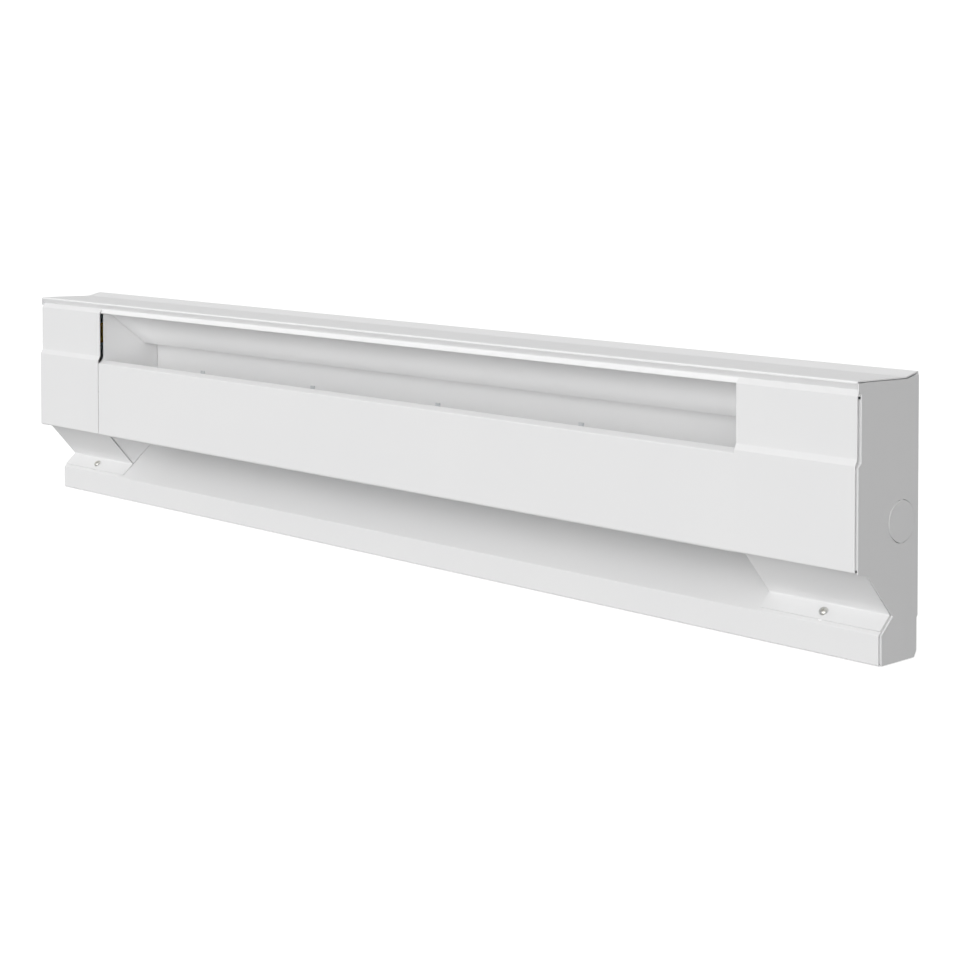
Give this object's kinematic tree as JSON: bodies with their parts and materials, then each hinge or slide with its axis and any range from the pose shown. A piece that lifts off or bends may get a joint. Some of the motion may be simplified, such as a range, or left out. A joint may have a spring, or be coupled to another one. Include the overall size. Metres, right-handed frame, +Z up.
{
  "type": "baseboard heater",
  "caption": "Long low wall heater in folded white sheet steel, with a finned element behind a front panel and a screwed wiring cover at each end.",
  "frame": {"origin": "middle of the bounding box's underside: middle of the length and depth, on the floor", "axes": "+X along the heater to the right seen from the front, -Y out of the front into the room, +Y to the wall, +Z up"},
  "size_m": [0.9144, 0.0646, 0.1778],
  "materials": {
    "white_enamel": "white powder coat, semi-gloss, fine orange peel",
    "galvanised_steel": "galvanised sheet, matt",
    "fin_aluminium": "mill finish",
    "sheath_steel": "heat-darkened steel",
    "zinc_plate": "bright zinc plate",
    "green_screw": "green dyed plating",
    "nylon": "natural nylon",
    "silicone": "moulded silicone",
    "phenolic": "black moulded phenolic",
    "copper": "drawn copper capillary",
    "black_wire": "black insulation",
    "red_wire": "red insulation",
    "connector": "orange moulded plastic"
  },
  "bodies": {
    "casing": {"bottom_pan": "white_enamel", "bracket_bushing_1": "nylon", "bracket_bushing_2": "nylon", "bracket_bushing_3": "nylon", "bracket_bushing_4": "nylon", "element_bracket_1": "galvanised_steel", "element_bracket_2": "galvanised_steel", "element_bracket_3": "galvanised_steel", "element_bracket_4": "galvanised_steel", "element_fins_1": "fin_aluminium", "element_fins_2": "fin_aluminium", "element_fins_3": "fin_aluminium", "element_fins_4": "fin_aluminium", "element_fins_5": "fin_aluminium", "element_sheath": "sheath_steel", "heat_deflector": "white_enamel", "left_cable_clamp": "galvanised_steel", "left_earth_screw": "green_screw", "left_element_lead": "black_wire", "left_end_plate": "white_enamel", "left_end_seal": "silicone", "left_joint_connector": "connector", "left_partition": "white_enamel", "left_partition_bushing": "nylon", "left_terminal_pin": "zinc_plate", "left_terminal_sleeve": "nylon", "limit_switch": "phenolic", "rear_casing": "white_enamel", "return_wire": "red_wire", "right_cable_clamp": "galvanised_steel", "right_earth_screw": "green_screw", "right_element_lead": "black_wire", "right_end_plate": "white_enamel", "right_end_seal": "silicone", "right_partition": "white_enamel", "right_partition_bushing": "nylon", "right_return_connector": "connector", "right_supply_connector": "connector", "right_terminal_pin": "zinc_plate", "right_terminal_sleeve": "nylon", "sensing_tube": "copper", "sensor_grommet_1": "silicone", "sensor_grommet_2": "silicone", "sensor_grommet_3": "silicone", "sensor_grommet_4": "silicone", "switch_supply_lead": "black_wire"},
    "left_cover": {"left_wiring_cover": "white_enamel"},
    "right_cover": {"right_wiring_cover": "white_enamel"},
    "left_screw": {"left_cover_screw": "zinc_plate"},
    "right_screw": {"right_cover_screw": "zinc_plate"},
    "panel": {"front_panel": "white_enamel"}
  },
  "joints": [
    {"name": "left_cover_swing", "type": "hinge", "parent": "casing", "child": "left_cover", "pos_m": [-0.409, -0.02733, 0.17031], "axis": [-1, 0, 0], "range_deg": [0, 40]},
    {"name": "left_screw_out", "type": "slide", "parent": "left_cover", "child": "left_screw", "axis": [0, -0.6472, 0.7623], "range_m": [0, 0.01]},
    {"name": "right_cover_swing", "type": "hinge", "parent": "casing", "child": "right_cover", "pos_m": [0.409, -0.02733, 0.17031], "axis": [-1, 0, 0], "range_deg": [0, 40]},
    {"name": "right_screw_out", "type": "slide", "parent": "right_cover", "child": "right_screw", "axis": [0, -0.6472, 0.7623], "range_m": [0, 0.01]},
    {"name": "panel_swing", "type": "hinge", "parent": "casing", "child": "panel", "pos_m": [0, -0.0278, 0.1229], "axis": [-1, 0, 0], "range_deg": [0, 30]}
  ]
}
